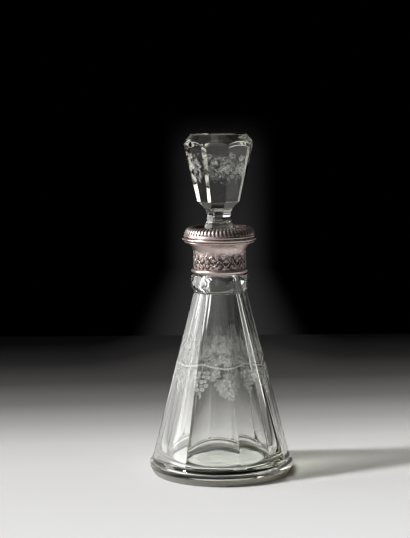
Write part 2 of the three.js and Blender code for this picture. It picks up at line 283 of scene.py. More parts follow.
def glow_share(tree, way, behind):
    """How much of the glow a direction shows."""
    aside = add_node(tree, "ShaderNodeVectorMath", {0: way, 1: across}, operation="DOT_PRODUCT")
    off = add_node(tree, "ShaderNodeMath", {0: aside.outputs["Value"]}, operation="ABSOLUTE")
    level = add_node(tree, "ShaderNodeSeparateXYZ", {"Vector": way}).outputs["Z"]
    reach = add_node(tree, "ShaderNodeMapRange", {
        "Value": level, "From Min": glow_foot, "From Max": glow_narrows,
        "To Min": foot_reach, "To Max": upper_reach,
    })
    width = add_node(tree, "ShaderNodeMath", {
        0: off.outputs["Value"], 1: reach.outputs["Result"],
    }, operation="DIVIDE")
    near = add_node(tree, "ShaderNodeMapRange", {
        "Value": width.outputs["Value"], "From Min": 1.0, "From Max": full_share,
    }, interpolation_type="SMOOTHSTEP")
    low = add_node(tree, "ShaderNodeMapRange", {
        "Value": level, "From Min": glow_top, "From Max": glow_fades,
    }, interpolation_type="SMOOTHSTEP")
    dimmer = add_node(tree, "ShaderNodeMapRange", {
        "Value": level, "From Min": glow_foot, "From Max": glow_dims, "To Min": 1.0, "To Max": 0.5,
    })
    rear = add_node(tree, "ShaderNodeMath", {0: behind, 1: 0.5}, operation="GREATER_THAN")
    share = near.outputs["Result"]
    for factor in (low.outputs["Result"], dimmer.outputs["Result"], rear.outputs["Value"]):
        product = add_node(tree, "ShaderNodeMath", {0: share, 1: factor}, operation="MULTIPLY")
        share = product.outputs["Value"]
    return share


# %% [markdown]
# The background adds the glow to the greys of the room. It depends on nothing but the direction, so the
# glass and the silver mirror the same room from wherever they are looked at.

# %% Room
def build_room():
    """A dark background with the glow added where the directions call for it."""
    world = bpy.data.worlds.new("room")
    world.use_nodes = True
    tree = world.node_tree
    tree.nodes.clear()
    way = add_node(tree, "ShaderNodeTexCoord").outputs["Generated"]
    behind = add_node(tree, "ShaderNodeVectorMath", {
        0: way, 1: back + Vector((0, 0, -0.06)),
    }, operation="DOT_PRODUCT").outputs["Value"]
    lifted = add_node(tree, "ShaderNodeMix", {
        0: glow_share(tree, way, behind), 6: room_greys(tree, way, behind), 7: linear("#2f2f2f"),
    }, data_type="RGBA", blend_type="ADD")
    glow = add_node(tree, "ShaderNodeBackground", {"Color": lifted.outputs["Result"], "Strength": 0.9})
    output = add_node(tree, "ShaderNodeOutputWorld")
    tree.links.new(glow.outputs["Background"], output.inputs["Surface"])
    bpy.context.scene.world = world
    print("room nodes:", len(tree.nodes))


build_room()

# %% [markdown]
# The Standard view keeps each colour as it is written. Thick glass bends light many times before it is out
# again, so a path of light may turn 24 times.

# %% View and paths of light
bpy.context.scene.view_settings.view_transform = "Standard"
bounces = 24
bpy.context.scene.cycles.max_bounces = bounces
bpy.context.scene.cycles.transmission_bounces = bounces
bpy.context.scene.cycles.transparent_max_bounces = bounces

# %% [markdown]
# ## Outlines
# Most pieces are turned: their outline goes once round the axis. Straight stretches, arcs and quick curves
# are enough to draw each one. Points are (radius, height) in millimetres.

# %% Straight and curved stretches of an outline
def line(start, end, steps=1):
    """Points after start, up to and including end."""
    return [tuple(s + (e - s) * i / steps for s, e in zip(start, end)) for i in range(1, steps + 1)]


def curve(start, pull, end, steps=12):
    """A curve that leaves start towards pull and comes to end from pull."""
    points = []
    for i in range(1, steps + 1):
        t = i / steps
        points.append(tuple(
            (1 - t) ** 2 * s + 2 * t * (1 - t) * p + t * t * e for s, p, e in zip(start, pull, end)))
    return points


def bulge(radius, foot, top, depth, steps=24):
    """An arc that stands out from a wall between two heights, as on a half-round wire."""
    half = (top - foot) / 2
    arc_radius = (half * half + depth * depth) / (2 * depth)
    sweep = math.asin(half / arc_radius)
    centre = (radius + depth - arc_radius, foot + half)
    angles = [-sweep + 2 * sweep * i / steps for i in range(steps + 1)]
    return [(centre[0] + arc_radius * math.cos(a), centre[1] + arc_radius * math.sin(a)) for a in angles]


def curl(centre, start_angle, turns, radius, steps=18):
    """Points of a spiral that closes in on its centre, down to a quarter of its radius."""
    points = []
    for i in range(steps + 1):
        angle = start_angle + 2 * math.pi * turns * i / steps
        reach = radius * (1 - 0.75 * i / steps)
        points.append((centre[0] + reach * math.cos(angle), centre[1] + reach * math.sin(angle)))
    return points


# %% [markdown]
# A turned surface is a grid: one column of points for each angle. The same grid also takes the flat panels:
# on a cut piece each point sits at the smaller of two radii, the round blank's and the flat panel's. That
# leaves the true curved lines where panels meet the rims, and needs no cutting operation on the mesh.

# %% A turned surface
PANELS = 8
half_panel = math.pi / PANELS


def even_angles(count):
    """Angles in equal steps once round the axis."""
    return [2 * math.pi * i / count for i in range(count)]


def panel_angles(per_panel):
    """Angles that crowd towards the ridges between panels, so that a ridge stays crisp."""
    angles = []
    for panel in range(PANELS):
        for i in range(per_panel):
            share = math.sin(math.pi / 2 * (2 * i / per_panel - 1))
            angles.append(2 * half_panel * panel + half_panel * share)
    return angles


def turned_mesh(name, outline, angles, reshape=None, closed=False):
    """Mesh from an outline that starts and ends on the axis, or closes on itself."""
    vertices, rings = [], []
    for step, (radius, height) in enumerate(outline):
        ring = []
        for column, angle in enumerate(angles):
            r, z = reshape(step, radius, height, angle) if reshape else (radius, height)
            if radius == 0 and column:
                ring.append(ring[0])
                continue
            ring.append(len(vertices))
            vertices.append((r * math.sin(angle) * MM, -r * math.cos(angle) * MM, z * MM))
        rings.append(ring)
    faces, steps = [], []
    pairs = list(zip(rings, rings[1:])) + ([(rings[-1], rings[0])] if closed else [])
    for step, (low, high) in enumerate(pairs):
        for i in range(len(angles)):
            j = (i + 1) % len(angles)
            corners = [low[i], low[j], high[j], high[i]]
            faces.append(list(dict.fromkeys(corners)))
            steps.append(step)
    mesh = bpy.data.meshes.new(name)
    mesh.from_pydata(vertices, [], faces)
    mesh.update()
    mesh.shade_smooth()
    return mesh, steps


# %% [markdown]
# Each mesh becomes a piece that rides on one of the two bodies, so that the stopper can be lifted out. It
# takes the place of the CAD solids that it dresses.

# %% A piece in the frame
def add_piece(name, mesh, body, slot, *nodes):
    """Puts a mesh in the scene as a piece that rides on a body and stands for CAD nodes."""
    piece = bpy.data.objects.new(name, mesh)
    bpy.context.scene.collection.objects.link(piece)
    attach(piece, body)
    if nodes:
        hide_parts(*nodes)
    print(name, "faces:", len(mesh.polygons))
    return piece


def mark_points(mesh, name, values):
    """Keeps one number for each point, which a material can read."""
    layer = mesh.attributes.new(name, "FLOAT", "POINT")
    layer.data.foreach_set("value", values)


# %% [markdown]
# A cut edge is never a sharp line: polishing rounds it by a tenth of a millimetre or more, and it is the
# round edge that catches the light. A bevel on the mesh would tear where an edge fades out. So the two radii
# that meet at the edge are blended over a short width instead.

# %% Polished edges
def soft_min(a, b, width):
    """The smaller of two lengths, rounded where they meet, as polishing rounds a cut edge."""
    near = max(width - abs(a - b), 0) / width
    return min(a, b) - near * near * width / 4


# %% [markdown]
# ## Glass
# The bottle is potash-lead crystal of the plain, slightly olive kind. Polished glass shows mostly what is
# behind it and what it mirrors, so it is nearly all transmission. Its index of refraction is set to 1.52, a
# little under the 1.54 of real crystal. Its faint colour comes from its thickness, so that the foot is
# darker than the walls. Where it is ground, on the stopper's peg and in the bore, it scatters light. Tracing
# the light that glass gathers takes very long, so lamps reach through it as a tinted shadow instead.

# %% Glass material
glass_index = 1.52
# what a face lets through to the things behind it, from light that meets it head on to light that grazes it
shadow_greys = [(0.0, "#f2f2ef"), (1.0, "#7c7d78")]
# and what level faces let through, such as the floor's and the foot's
level_shadow = "#c9ced1"
# the density is for a metre of glass
body_colour, body_density = "#d9d2a6", 5.0


def glass_material(name, colour, roughness, transmission, bump):
    """Glass with its body colour. Its shadow is darker where light grazes a face, and one grey if level."""
    material, tree, output = new_material(name)
    glass = add_node(tree, "ShaderNodeBsdfPrincipled", {
        "Base Color": linear(colour), "Roughness": roughness, "IOR": glass_index,
        "Transmission Weight": transmission, "Normal": bump(tree),
    })
    edge = add_node(tree, "ShaderNodeLayerWeight", {"Blend": 0.5})
    share = add_node(tree, "ShaderNodeValToRGB", {"Fac": edge.outputs["Facing"]})
    fill_ramp(share.color_ramp, shadow_greys)
    way = add_node(tree, "ShaderNodeNewGeometry")
    level = add_node(tree, "ShaderNodeSeparateXYZ", {"Vector": way.outputs["Normal"]})
    steep = add_node(tree, "ShaderNodeMath", {0: level.outputs["Z"]}, operation="ABSOLUTE")
    flat = add_node(tree, "ShaderNodeMapRange", {
        "Value": steep.outputs["Value"], "From Min": 0.75, "From Max": 0.95,
    })
    passed = add_node(tree, "ShaderNodeMix", {
        0: flat.outputs["Result"], 6: share.outputs["Color"], 7: linear(level_shadow),
    }, data_type="RGBA")
    through = add_node(tree, "ShaderNodeBsdfTransparent", {"Color": passed.outputs["Result"]})
    ray = add_node(tree, "ShaderNodeLightPath")
    surface = add_node(tree, "ShaderNodeMixShader", {
        0: ray.outputs["Is Shadow Ray"], 1: glass.outputs["BSDF"], 2: through.outputs["BSDF"],
    })
    body = add_node(tree, "ShaderNodeVolumeAbsorption", {
        "Color": linear(body_colour), "Density": body_density,
    })
    tree.links.new(surface.outputs["Shader"], output.inputs["Surface"])
    tree.links.new(body.outputs["Volume"], output.inputs["Volume"])
    return material


# %% [markdown]
# Blowing and polishing leave a surface uneven over about 20 mm. Grinding leaves pits of about a tenth of a
# millimetre. They are too fine for the picture, so they are drawn a quarter of a millimetre wide.

# %% Waves and grit
wave_width, grit_width = 20, 0.25


def gentle_waves(strength):
    """Bump of a polished face. The real waves are as wide as the drawn ones."""
    def waves(tree):
        place = add_node(tree, "ShaderNodeTexCoord")
        rise = add_node(tree, "ShaderNodeTexNoise", {
            "Vector": place.outputs["Object"], "Scale": 1 / (wave_width * MM), "Detail": 1.0,
        })
        uneven = add_node(tree, "ShaderNodeBump", {
            "Height": rise.outputs["Fac"], "Strength": strength, "Distance": 1 * MM,
        })
        return uneven.outputs["Normal"]
    return waves


def ground_grit(tree):
    """Bump of a ground face."""
    place = add_node(tree, "ShaderNodeTexCoord")
    grit = add_node(tree, "ShaderNodeTexNoise", {
        "Vector": place.outputs["Object"], "Scale": 1 / (grit_width * MM), "Detail": 2.0,
    })
    rough = add_node(tree, "ShaderNodeBump", {
        "Height": grit.outputs["Fac"], "Strength": 0.4, "Distance": 0.2 * MM,
    })
    return rough.outputs["Normal"]


# %% [markdown]
# The bottle's outside was blown and then polished, and the stopper was cut all over, so its faces are truer.
# The peg and the bore are ground. Years of standing have scuffed the bevel round the foot.

# %% Glass finishes
crystal = glass_material("polished crystal glass", "#fdfefd", 0.0, 1.0, gentle_waves(0.04))
cut_crystal = glass_material("wheel-cut crystal glass", "#fdfefd", 0.0, 1.0, gentle_waves(0.01))
ground = glass_material("ground crystal glass", "#f4f6f4", 0.45, 0.9, ground_grit)
scuffed = glass_material("scuffed crystal glass", "#f0f0ea", 0.3, 0.75, ground_grit)
print("glass:", [finish.name for finish in (crystal, cut_crystal, ground, scuffed)])

# %% [markdown]
# ## Bottle
# The bottle was blown, then cut on a wheel: the panels are what the wheel left of a round blank. It is made
# the same way here. One outline is the round blank, and a second one gives how far each flat panel lies from
# the axis at each height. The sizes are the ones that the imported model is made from.

# %% Sizes of the bottle
recess_radius, recess_depth, recess_fillet = 46.5, 3.2, 3
base_radius, rim_radius, bevel_height, rim_height = 57.5, 60.3, 5.5, 4.5
cove_height, cove_depth = 4, 2.6
cone_height, cone_foot_flat, cone_top_flat = 138.3, 55.23, 21.1
panel_scoop, groove_height = 1, 1.6
ring_height, ring_radius, ring_flat, ring_edge_radius = 14.6, 25.1, 23.4, 21.8
wall, floor_thickness, floor_dome, floor_fillet, throat_height = 6, 8, 1.2, 18, 28
neck_radius, neck_height, lip_round = 17.6, 35, 1
peg_radius, peg_length, peg_taper, peg_edge, seat_gap = 12.4, 29, 0.05, 1.2, 0.3

foot_top = bevel_height + rim_height
cove_level = foot_top + cove_height
cove_radius = rim_radius - cove_depth
cone_top = cove_level + cone_height
groove_level = cone_top + groove_height
ring_top = groove_level + ring_height
lip_level = ring_top + neck_height
throat_level = lip_level - peg_length
cone_slope = (cone_foot_flat - cone_top_flat) / cone_height

# %% [markdown]
# A flat panel lies nearest to the axis along its middle. At an angle to the side, its distance is that of
# the middle divided by the cosine of the angle. The ridges themselves are rounded by a small arc.

# %% Panels and taper
def cone_flat(z):
    """Distance from the axis to a flat panel of the cone."""
    return cone_top_flat + (cone_top - z) * cone_slope


def ridge(flat):
    """Distance from the axis to the ridge where two panels meet."""
    return flat / math.cos(half_panel)


def panelled(flat, angle, edge_radius):
    """Distance from the axis to eight flat panels at an angle, with the ridges between them rounded."""
    turn = (angle + half_panel) % (2 * half_panel) - half_panel
    centre = ridge(flat - edge_radius)
    off = half_panel - abs(turn)
    side = math.atan2(edge_radius * math.sin(half_panel), centre + edge_radius * math.cos(half_panel))
    if off >= side:
        return flat / math.cos(turn)
    return centre * math.cos(off) + math.sqrt(edge_radius ** 2 - (centre * math.sin(off)) ** 2)


def ground_radius(z):
    """Radius of the stopper's ground taper."""
    return peg_radius - (lip_level - z) * peg_taper


# %% [markdown]
# The blank's outline runs from the hollow under the foot, over the foot's bevel and rim and the cove above
# it, up the cone to the ring and the plain neck, which the mount hides. The cone's blank is a little larger
# than its ridges, so that the panels meet in ridges all the way up.

# %% Outside of the blank
def bottle_blank():
    """Round outline from the middle of the recess underneath to the lip."""
    allowance, edge = 0.4, 0.4
    # the rows of points stand closer near both ends of the cone, from these heights on
    fine_below, fine_above = 22, 142
    cone_foot = cove_level + panel_scoop
    wide = ridge(cone_flat(cone_foot)) + allowance
    points = [(0, recess_depth)]
    points += line(points[-1], (recess_radius - recess_fillet, recess_depth), 4)
    points += curve(points[-1], (recess_radius, recess_depth), (recess_radius, 0), 8)
    points += line(points[-1], (base_radius - edge, 0), 2)
    points += curve(points[-1], (base_radius, 0), (base_radius + edge / 2, edge), 3)
    points += line(points[-1], (rim_radius - edge / 2, bevel_height - edge), 6)
    points += curve(points[-1], (rim_radius, bevel_height), (rim_radius, bevel_height + edge), 3)
    points += line(points[-1], (rim_radius, foot_top - edge), 4)
    points += curve(points[-1], (cove_radius, foot_top + cove_height / 2), (cove_radius, cove_level), 24)
    points += line(points[-1], (wide, cone_foot), 14)
    points += line(points[-1], (ridge(cone_flat(fine_below)) + allowance, fine_below), 24)
    points += line(points[-1], (ridge(cone_flat(fine_above)) + allowance, fine_above), 24)
    points += line(points[-1], (ridge(cone_top_flat) + allowance, cone_top), 36)
    points += curve(points[-1], (ring_edge_radius, groove_level - groove_height / 2),
                    (ring_edge_radius, groove_level), 12)
    points += bulge(ring_edge_radius, groove_level, ring_top, ring_radius - ring_edge_radius, 64)[1:]
    points += line(points[-1], (neck_radius, ring_top), 3)
    points += line(points[-1], (neck_radius, lip_level - lip_round), 6)
    points += curve(points[-1], (neck_radius, lip_level), (neck_radius - lip_round, lip_level), 6)
    return points


# %% [markdown]
# The wheel starts each cut with a small scoop of its own roundness, at the foot of the cone and at both ends
# of the ring's facets. Beyond the scoop it doesn't touch the blank.

# %% What the cutting wheel leaves
untouched = 99.0


def wheel_cut(z):
    """Distance from the axis to the flats of the bottle at a height: on the cone and on the ring."""
    cone_foot = cove_level + panel_scoop / 2
    if z < cone_foot:
        drop = (cone_foot - z) / panel_scoop
        if drop >= 1:
            return untouched
        return cone_flat(cone_foot) + 2 * panel_scoop * (1 - math.sqrt(1 - drop * drop))
    if z <= cone_top:
        return cone_flat(z)
    if z < groove_level:
        rise = (z - cone_top) / groove_height
        return cone_top_flat + (ring_flat + panel_scoop - cone_top_flat) * (1 - math.sqrt(1 - rise * rise))
    ring_middle = groove_level + ring_height / 2
    ring_reach = ring_height / 2 - panel_scoop / 2
    off = abs(z - ring_middle)
    if off <= ring_reach:
        return ring_flat
    rise = (off - ring_reach) / (ring_height / 2 - ring_reach)
    if rise >= 1:
        return untouched
    return ring_flat + panel_scoop * (1 - math.sqrt(1 - rise * rise))


# %% [markdown]
# The inside was blown and never cut: a domed floor, a wide fillet, a smooth wall, and a bore that was ground
# to take the stopper.

# %% Inside of the bottle
def wall_radius(z):
    """Radius of the blown inside."""
    return cone_flat(z) - wall * math.hypot(1, cone_slope)


def bottle_inside():
    """Round outline from the lip down the bore to the middle of the floor."""
    floor, wall_foot = floor_thickness, floor_thickness + floor_fillet
    wall_top = throat_level - throat_height
    elbow = throat_level - throat_height / 3
    bore_top = ground_radius(lip_level) + seat_gap
    points = [(neck_radius - lip_round, lip_level)]
    points += line(points[-1], (bore_top + lip_round, lip_level), 2)
    points += curve(points[-1], (bore_top, lip_level), (bore_top, lip_level - lip_round), 6)
    points += line(points[-1], (ground_radius(throat_level) + seat_gap, throat_level), 8)
    points += curve(points[-1], (wall_radius(elbow), elbow), (wall_radius(wall_top), wall_top), 24)
    points += line(points[-1], (wall_radius(wall_foot), wall_foot), 24)
    points += curve(points[-1], (wall_radius(floor), floor), (wall_radius(floor) - floor_fillet, floor), 24)
    points += curve(points[-1], (wall_radius(floor) / 2, floor + floor_dome), (0, floor + floor_dome), 16)
    return points[1:]


# %% [markdown]
# Polishing with felt and putty powder softens the ridges. The cone's are nearly crisp, and the small ring's
# are rounder.

# %% Bottle mesh
columns_per_panel = 28
cone_polish, ring_polish, bottle_ridge_radius = 0.15, 0.9, 0.7


def build_bottle():
    """One closed surface, outside and inside, with the finish that each row of faces has."""
    blank, inside = bottle_blank(), bottle_inside()

    def cut(step, radius, height, angle):
        if step >= len(blank) or radius == 0:
            return radius, height
        polish = ring_polish if height > groove_level else cone_polish
        flat = panelled(wheel_cut(height), angle, bottle_ridge_radius)
        return soft_min(radius, flat, polish), height

    mesh, steps = turned_mesh("bottle", blank + inside, panel_angles(columns_per_panel), cut)
    for finish in (crystal, ground, scuffed):
        mesh.materials.append(finish)
    # rows of faces on the bevel, and down the bore below its rounded mouth
    bevel = [step for step, (r, z) in enumerate(blank)
             if base_radius - 0.5 < r < rim_radius and z < bevel_height]
    bore = range(len(blank) + 7, len(blank) + 15)
    for face, step in zip(mesh.polygons, steps):
        if step in bore:
            face.material_index = 1
        elif bevel[0] <= step <= bevel[-1]:
            face.material_index = 2
    add_piece("bottle", mesh, "decanter", "clear_glass", "glass_body")


build_bottle()

# %% [markdown]
# ## Stopper
# The stopper is solid. Its head is an eight-sided taper with a bevelled round table on top. The flats run on
# through a hollow chamfer into the waisted stem, and the peg below is ground to fit the bottle's bore. It is
# cut from a round blank like the bottle.

# %% Sizes of the stopper
stem_radius, stem_height, stem_waist_flat, stem_clearance = 13.1, 10.2, 9.7, 2.4
chamfer_height, head_foot_flat, head_height, head_top_flat = 12.4, 17.4, 55.4, 29.1
table_radius, table_bevel_slope = 23.2, 1.18

stem_foot = lip_level + stem_clearance
waist_level = stem_foot + stem_height
head_foot = waist_level + chamfer_height
stopper_top = head_foot + head_height

# %% [markdown]
# Two outlines again: the round blank, and how far the flats lie from the axis. The wheel's own roundness
# makes the chamfer and the waist hollow, so both follow a parabola, which is close to such an arc.

# %% Stopper outlines
def stopper_blank():
    """Round outline from the middle of the peg's end to the middle of the table."""
    peg_foot = lip_level - peg_length
    peg_foot_radius = ground_radius(peg_foot)
    # the round stem ends below the waist, where the flats have taken all of its surface
    stem_end = waist_level - 6
    # rows stand closer near the foot of the head, and the table's edge is rounded over these lengths
    close_rows, edge_out, edge_in = 2, 0.3, 0.4
    wide = ridge(head_top_flat)
    bevel_foot = stopper_top - (wide - table_radius) * table_bevel_slope
    points = [(0, peg_foot)]
    points += line(points[-1], (peg_foot_radius - peg_edge, peg_foot), 3)
    points += curve(points[-1], (peg_foot_radius, peg_foot), (peg_foot_radius, peg_foot + peg_edge), 5)
    points += line(points[-1], (peg_radius, lip_level), 12)
    points += curve(points[-1], (ground_radius(stem_foot), stem_foot), (stem_radius, stem_foot), 8)
    points += line(points[-1], (stem_radius, stem_end), 20)
    points += line(points[-1], (wide, stem_end), 1)
    points += line(points[-1], (wide, head_foot - close_rows), 60)
    points += line(points[-1], (wide, head_foot + close_rows), 16)
    points += line(points[-1], (wide, bevel_foot), 30)
    points += line(points[-1], (table_radius + edge_out, stopper_top - edge_out * table_bevel_slope), 60)
    points += curve(points[-1], (table_radius, stopper_top), (table_radius - edge_in, stopper_top), 4)
    points += line(points[-1], (0, stopper_top), 2)
    return points


def stopper_cut(z):
    """Distance from the axis to the flats of the stopper at a height."""
    if z < stem_foot:
        return untouched
    if z < waist_level:
        drop = (waist_level - z) / stem_height
        return stem_waist_flat + (stem_radius - stem_waist_flat) * drop ** 2
    if z < head_foot:
        rise = (z - waist_level) / chamfer_height
        return stem_waist_flat + (head_foot_flat - stem_waist_flat) * rise ** 2
    return head_foot_flat + (head_top_flat - head_foot_flat) * (z - head_foot) / head_height


# %% [markdown]
# The stopper gets the truer finish of cut glass, and its peg the ground one.

# %% Stopper mesh
stopper_polish, stopper_ridge_radius = 0.4, 1.0


def build_stopper():
    """The cut stopper, with the ground finish on the rows of faces of its peg."""
    def cut(step, radius, height, angle):
        if radius == 0:
            return radius, height
        flat = panelled(stopper_cut(height), angle, stopper_ridge_radius)
        return soft_min(radius, flat, stopper_polish), height

    mesh, steps = turned_mesh("cut_stopper", stopper_blank(), panel_angles(columns_per_panel), cut)
    mesh.materials.append(cut_crystal)
    mesh.materials.append(ground)
    # rows of faces from the rounded end of the peg up to the lip
    peg = range(3, 20)
    for face, step in zip(mesh.polygons, steps):
        face.material_index = 1 if step in peg else 0
    add_piece("cut_stopper", mesh, "stopper", "clear_glass", "stopper")


build_stopper()

# %% [markdown]
# ## Engraving
# A grapevine is engraved round the bottle with small copper wheels: a waving stem, bunches of grapes and
# leaves below it, flowers, leaves and curls above it. The stopper carries sprigs of the same vine. The wheel
# leaves the glass matt, so the vine looks like pale frost. Cutting it into the mesh would need very small
# faces all over, so it is drawn as thin strokes of frost that lie on the panels. Each stroke fades to
# nothing at its edges, as a shallow cut does.
#
# Frost is matt and pale, and lets most of the light through. A grain breaks it up. It is drawn about two
# thirds of a millimetre wide, much coarser than the real scratches, which are too fine for the picture.

# %% Frost material
frost_grain = 2 / 3


def engraved_frost():
    """Matt glass that covers as much as the number named frost says at each point."""
    material, tree, output = new_material("wheel-engraved glass")
    depth = add_node(tree, "ShaderNodeAttribute", attribute_name="frost")
    place = add_node(tree, "ShaderNodeTexCoord")
    grain = add_node(tree, "ShaderNodeTexNoise", {
        "Vector": place.outputs["Object"], "Scale": 1 / (frost_grain * MM), "Detail": 2.0,
    })
    broken = add_node(tree, "ShaderNodeMapRange", {
        "Value": grain.outputs["Fac"], "From Min": 0.3, "From Max": 0.7, "To Min": 0.35, "To Max": 1.0,
    })
    cover = add_node(tree, "ShaderNodeMath", {
        0: depth.outputs["Fac"], 1: broken.outputs["Result"],
    }, operation="MULTIPLY")
    matt = add_node(tree, "ShaderNodeBsdfPrincipled", {
        "Base Color": linear("#eceee9"), "Roughness": 0.7, "IOR": glass_index,
        "Alpha": cover.outputs["Value"],
    })
    tree.links.new(matt.outputs["BSDF"], output.inputs["Surface"])
    return material


frosted = engraved_frost()

# %% [markdown]
# Each stroke keeps a place to start from, and lengths are measured from there along the panel. Strokes that
# cross must not share a plane, so each one lies a few thousandths of a millimetre above the last one. After
# twelve of them the heights start again.

# %% Strokes of frost
layer_count, glass_clearance, layer_step = 12, 0.02, 0.003
# on average the points of a panel lie this much farther from the axis than its middle
panel_mean = 1.03


class Frost:
    """Collects soft strokes on the panels of one glass piece. Lengths are in millimetres."""

    def __init__(self, flat_at, slope):
        self.flat_at, self.slope = flat_at, slope
        self.points, self.faces, self.strength = [], [], []
        self.layer = 0

    def next_layer(self):
        """Lifts the strokes that follow."""
        self.layer = (self.layer + 1) % layer_count

    def start(self, angle, z):
        """Sets the place that the next strokes are measured from, on the next layer."""
        self.angle, self.z, self.radius = angle, z, self.flat_at(z) * panel_mean
        self.next_layer()

    def point(self, aside, up, strength):
        """Adds a point and returns its number."""
        z = self.z + up / math.hypot(1, self.slope)
        angle = self.angle + aside / self.radius
        turn = (angle + half_panel) % (2 * half_panel) - half_panel
        reach = self.flat_at(z) / math.cos(turn) + glass_clearance + layer_step * self.layer
        self.points.append((reach * math.sin(angle) * MM, -reach * math.cos(angle) * MM, z * MM))
        self.strength.append(strength)
        return len(self.points) - 1

    def ribbon(self, line_points, half_width, strength):
        """A stroke along a line. half_width turns the share of the line so far into half a width."""
        rows = []
        for i, (x, y) in enumerate(line_points):
            before, after = line_points[max(i - 1, 0)], line_points[min(i + 1, len(line_points) - 1)]
            dx, dy = after[0] - before[0], after[1] - before[1]
            size = math.hypot(dx, dy) or 1
            width = half_width(i / (len(line_points) - 1))
            rows.append([self.point(x - dy / size * width * k, y + dx / size * width * k, strength * s)
                         for k, s in ((-1, 0), (-0.55, 1), (0, 1), (0.55, 1), (1, 0))])
        for low, high in zip(rows, rows[1:]):
            for k in range(4):
                self.faces.append((low[k], low[k + 1], high[k + 1], high[k]))

    def grape(self, x, y, radius, strength, middle=0.45):
        """A round cut, deepest at its rim. middle is the share of frost in its middle."""
        centre = self.point(x, y, strength * middle)
        rings = []
        for share, s in ((0.55, 1.0), (1.0, 0.0)):
            ring = []
            for k in range(10):
                turn = math.pi * k / 5
                ring.append(self.point(
                    x + radius * share * math.cos(turn), y + radius * share * math.sin(turn), strength * s))
            rings.append(ring)
        for k in range(10):
            j = (k + 1) % 10
            self.faces.append((centre, rings[0][k], rings[0][j]))
            self.faces.append((rings[0][k], rings[1][k], rings[1][j], rings[0][j]))

    def leaf(self, x, y, size, direction, strength):
        """A vine leaf: a pale blade of five lobes with a brighter edge and one vein to each lobe."""
        lobes = 5
        steps = 4 * lobes
        edge = []
        for k in range(steps + 1):
            turn = 2 * math.pi * k / steps
            reach = size * (0.3 + 0.28 * abs(math.cos(lobes / 2 * turn)))
            edge.append((x + reach * math.cos(direction + turn), y + reach * math.sin(direction + turn)))
        centre = self.point(x, y, strength * 0.5)
        rim = [self.point(*place, strength * 0.35) for place in edge]
        self.faces += [(centre, low, high) for low, high in zip(rim, rim[1:])]
        self.next_layer()
        self.ribbon(edge, lambda t: 0.33, strength)
        for tip in edge[0:steps:4]:
            halfway = ((x + tip[0]) / 2, (y + tip[1]) / 2)
            self.ribbon([(x, y), halfway, tip], lambda t: 0.25, strength * 0.8)

    def piece(self, name, body):
        """Makes one mesh of all the strokes."""
        mesh = bpy.data.meshes.new(name)
        mesh.from_pydata(self.points, [], self.faces)
        mesh.update()
        mesh.shade_smooth()
        mark_points(mesh, "frost", self.strength)
        mesh.materials.append(frosted)
        add_piece(name, mesh, body, "clear_glass")


# %% [markdown]
# The vine repeats six times round the bottle. Its stem waves once in each repeat, and is left out at the
# back, where it would show through the glass. Under the stem hang a bunch of grapes and a cluster of big
# leaves, and small leaves and flowers crowd above it. The engraver worked freely, so places, sizes and
# strengths are drawn at random from a fixed start, which gives the same vine each time.

# %% Stem, grapes and big leaves
stem_level, vine_repeats = 94.5, 6
half_repeat = math.radians(30)
# place from the middle of the stem, size and direction of each big leaf
big_leaves = [
    (2.5, -8.5, 6.2, -0.4), (-4.2, -13.5, 5.4, -1.9), (6.8, -16.0, 5.6, -1.2), (-0.5, -21.0, 5.2, -1.5),
    (10.5, -6.0, 4.6, -0.7), (4.5, -24.5, 4.0, -1.4), (-6.5, -5.5, 5.0, -2.4), (1.0, -13.5, 5.2, 0.6),
    (9.0, -12.0, 4.4, -2.6), (-3.0, -17.5, 4.6, 0.4), (5.5, -20.5, 4.4, 0.8), (-9.5, -9.0, 4.0, -1.2),
]
leaf_growth = 1.3


def engrave_stem(frost):
    """One wave of the stem."""
    half = half_repeat * frost.radius
    stem = []
    for k in range(-16, 17):
        share = k / 16
        stem.append((half * k / 16, 3.2 * share ** 2 * (1.5 - 0.5 * share ** 2) - 1.2))
    frost.ribbon(stem, lambda t: 0.9, 0.6)


def engrave_bunch(frost, chance, angle):
    """A bunch of grapes that narrows downwards, with its stalk and its tip."""
    frost.next_layer()
    for row, count in enumerate((4, 4, 3, 3, 2, 1)):
        for k in range(count):
            frost.start(angle, stem_level - 4)
            x = (k - (count - 1) / 2) * 3.6 + 0.9 * chance.random() - 0.4
            y = -row * 3.5 - chance.random()
            frost.grape(x, y, 1.7 + 0.6 * chance.random(), 0.5 + 0.3 * chance.random())
    frost.start(angle, stem_level)
    frost.ribbon([(0.3, 0.5 - k) for k in range(5)], lambda t: 0.5, 0.4)
    frost.ribbon([(0.4, -23 - k) for k in range(5)], lambda t: 0.9 * (1 - t) + 0.2, 0.6)


def engrave_big_leaves(frost, chance, middle, share):
    """The cluster of leaves that hangs from the middle of the stem."""
    for x, y, size, turn in big_leaves:
        frost.start(middle, stem_level)
        frost.leaf(x, y, size * leaf_growth, turn + 0.5 * chance.random(),
                   share * (0.4 + 0.25 * chance.random()))


# %% [markdown]
# Above the stem the real vine is too dense to follow leaf by leaf. Rows of leaves with a flower at every
# fourth place fill a dome. Each is moved a little and each leaf turned at random, so the rows don't show.

# %% Small leaves, flowers and curls
# radians, near enough
full_turn = 6.28


def engrave_flower(frost, x, y, strength):
    """Five round petals."""
    for petal in range(5):
        turn = 2 * math.pi * petal / 5
        frost.grape(x + 1.3 * math.cos(turn), y + 1.3 * math.sin(turn), 0.9, strength, 0.6)


